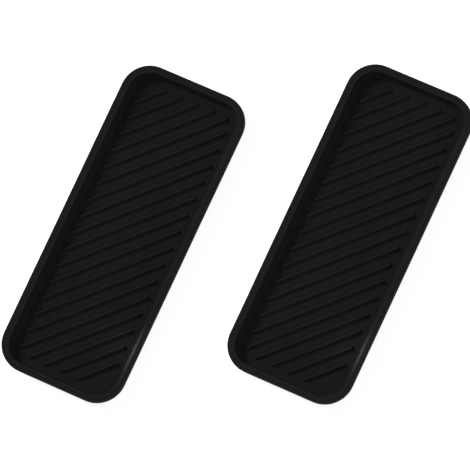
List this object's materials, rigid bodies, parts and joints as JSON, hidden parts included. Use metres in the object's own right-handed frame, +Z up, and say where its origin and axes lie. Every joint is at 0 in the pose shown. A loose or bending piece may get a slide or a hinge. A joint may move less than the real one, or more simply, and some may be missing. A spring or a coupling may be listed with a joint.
{
  "type": "tire traction mats",
  "caption": "Pair of loose moulded rubber tire traction mats: shallow rimmed rectangles with rounded corners and slanting tread ribs.",
  "frame": {"origin": "on the ground, at the middle of the box around both mats", "axes": "+Y along the mats' long sides, +X from the left mat to the right mat, +Z up"},
  "size_m": [0.716, 0.887, 0.028],
  "materials": {
    "mat_rubber": "moulded, satin, fine grain"
  },
  "bodies": {
    "left_mat": {"mat_left": "mat_rubber"},
    "right_mat": {"mat_right": "mat_rubber"}
  },
  "joints": [
    {"name": "mat_right_slide", "type": "slide", "parent": "left_mat", "child": "right_mat", "axis": [1, 0, 0], "range_m": [-0.149, 1.06]}
  ]
}
